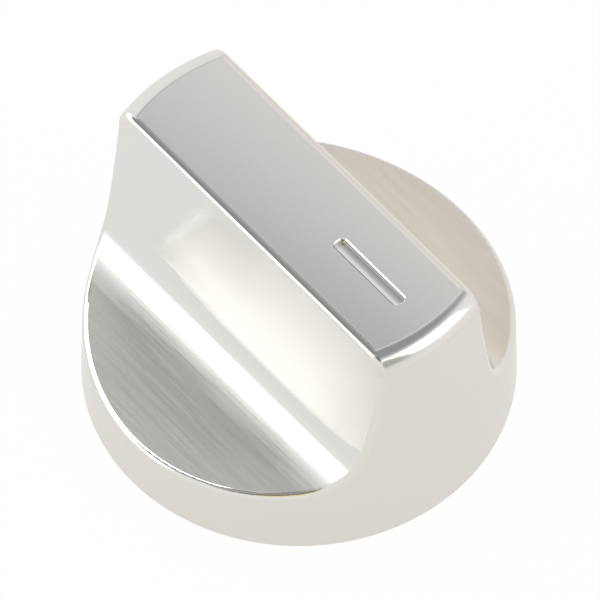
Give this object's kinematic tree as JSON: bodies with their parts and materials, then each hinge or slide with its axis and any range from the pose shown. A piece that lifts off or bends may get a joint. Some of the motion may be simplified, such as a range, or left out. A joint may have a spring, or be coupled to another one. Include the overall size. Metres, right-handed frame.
{
  "type": "stove knob",
  "caption": "Round satin-metal control knob with a straight bar grip between scooped finger recesses, an indicator groove on top and a D-shaft socket underneath.",
  "frame": {"origin": "centre of the base rim circle, on the plane that faces the appliance panel", "axes": "+Z along the knob axis, away from the panel; +Y along the bar grip, towards the end with the indicator groove; +X across the grip"},
  "size_m": [0.048, 0.048, 0.032],
  "materials": {
    "plated_shell": "zinc casting, brushed satin and bright plated",
    "moulded_hub": "heat-resistant glass-filled moulding, fine matte",
    "spring_steel": "bare rolled spring strip"
  },
  "bodies": {
    "root": {"knob_body": "plated_shell", "hub_insert": "moulded_hub", "spring_ring": "spring_steel"}
  },
  "joints": []
}
